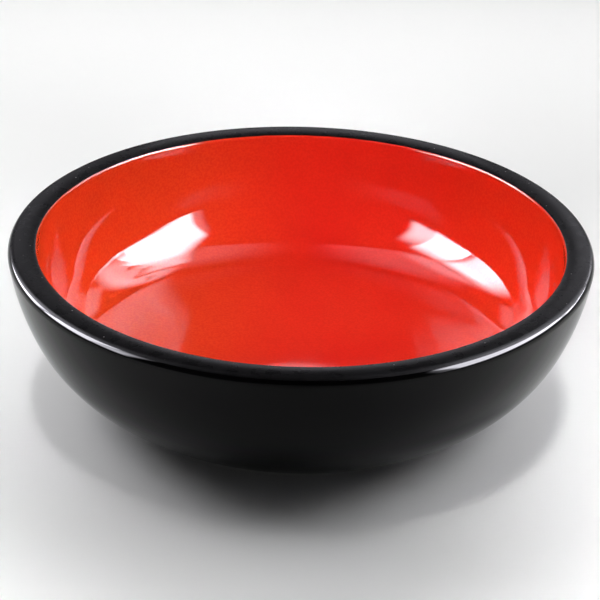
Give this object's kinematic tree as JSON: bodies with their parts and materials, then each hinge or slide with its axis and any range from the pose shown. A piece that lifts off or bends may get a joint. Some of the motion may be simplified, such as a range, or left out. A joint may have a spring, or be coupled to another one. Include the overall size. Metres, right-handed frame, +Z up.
{
  "type": "kneading bowl",
  "caption": "Wide round lacquered bowl for kneading noodle dough, with a vermilion hollow, a black outside, a thick crowned satin rim to grip and a low foot ring.",
  "frame": {"origin": "middle of the resting face of the foot ring, on the axis of the bowl", "axes": "+Z up along the axis of the bowl, out of its mouth; +X and +Y are free, because the bowl is round"},
  "size_m": [0.3599, 0.36, 0.105],
  "materials": {
    "core": "moulded resin with wood flour, bare on the resting face",
    "inner_lacquer": "high-gloss vermilion lacquer",
    "outer_lacquer": "high-gloss black lacquer",
    "rim_coat": "satin black lacquer with a fine grain",
    "base_lacquer": "gloss black lacquer"
  },
  "bodies": {
    "root": {"core": "core", "inner_lacquer": "inner_lacquer", "outer_lacquer": "outer_lacquer", "rim_coat": "rim_coat", "base_lacquer": "base_lacquer"}
  },
  "joints": []
}
